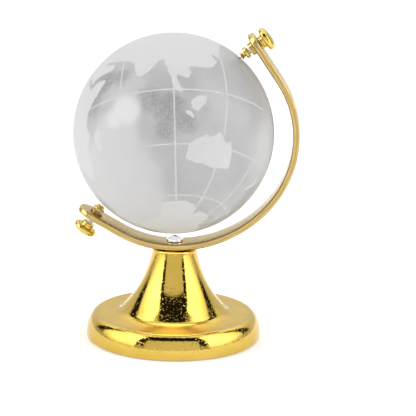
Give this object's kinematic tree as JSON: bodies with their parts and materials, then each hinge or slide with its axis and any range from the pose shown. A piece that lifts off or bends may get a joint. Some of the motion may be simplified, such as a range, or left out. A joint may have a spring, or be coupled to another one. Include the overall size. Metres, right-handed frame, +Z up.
{
  "type": "desktop globe on stand",
  "caption": "Miniature desk globe: a frosted glass ball pinched between two thumb screws in a bent brass arc, on a flared gold-plated foot.",
  "frame": {"origin": "centre of the foot's flat underside, where the globe rests on a table", "axes": "+Z up along the foot's axis; the arc lies in the XZ plane, open towards -X at the top, with its high end towards +X; +Y points away from the front"},
  "size_m": [0.045, 0.04, 0.0633],
  "materials": {
    "gold_plate": "polished gold-coloured plating, faintly orange-peeled",
    "satin_brass": "pale satin gold-coloured plating, brushed along the arc",
    "bright_steel": "bright nickel plating",
    "steel": "plain turned steel",
    "globe_glass": "clear optical glass, land and grid lines etched frosty",
    "pad": "fine-celled black foam rubber"
  },
  "bodies": {
    "stand": {"base_casting": "gold_plate", "base_pad": "pad", "arc_screw": "bright_steel", "arc_washer": "steel", "arc_nut": "steel"},
    "arc": {"meridian_arc": "satin_brass", "upper_threaded_bush": "satin_brass", "lower_threaded_bush": "satin_brass"},
    "globe": {"glass_globe": "globe_glass"},
    "upper_pivot": {"upper_pivot_cap": "gold_plate", "upper_pivot_pin": "steel"},
    "upper_screw": {"upper_threaded_stud": "steel", "upper_thumb_knob": "gold_plate"},
    "lower_pivot": {"lower_pivot_cap": "gold_plate", "lower_pivot_pin": "steel"},
    "lower_screw": {"lower_threaded_stud": "steel", "lower_thumb_knob": "gold_plate"}
  },
  "joints": [
    {"name": "arc_swivel", "type": "hinge", "parent": "stand", "child": "arc", "pos_m": [0, 0, 0.01838], "axis": [0, 0, 1], "continuous": true},
    {"name": "globe_spin", "type": "hinge", "parent": "arc", "child": "globe", "pos_m": [-0.00055, 0, 0.04184], "axis": [0.6633, 0, 0.7484], "continuous": true},
    {"name": "upper_screw_feed", "type": "slide", "parent": "arc", "child": "upper_pivot", "axis": [0.8039, 0, 0.5948], "range_m": [0, 0.00049]},
    {"name": "upper_screw_turn", "type": "hinge", "parent": "upper_pivot", "child": "upper_screw", "pos_m": [0.01214, 0, 0.05729], "axis": [0.8039, 0, 0.5948], "range_deg": [0, 504]},
    {"name": "lower_screw_feed", "type": "slide", "parent": "arc", "child": "lower_pivot", "axis": [-0.5736, 0, -0.8192], "range_m": [0, 0.00028]},
    {"name": "lower_screw_turn", "type": "hinge", "parent": "lower_pivot", "child": "lower_screw", "pos_m": [-0.01437, 0, 0.02738], "axis": [-0.5736, 0, -0.8192], "range_deg": [0, 288]}
  ],
  "couplings": [
    {"joint": "upper_screw_turn", "follows": "upper_screw_feed", "rad_per_m": 17952},
    {"joint": "lower_screw_turn", "follows": "lower_screw_feed", "rad_per_m": 17952}
  ]
}
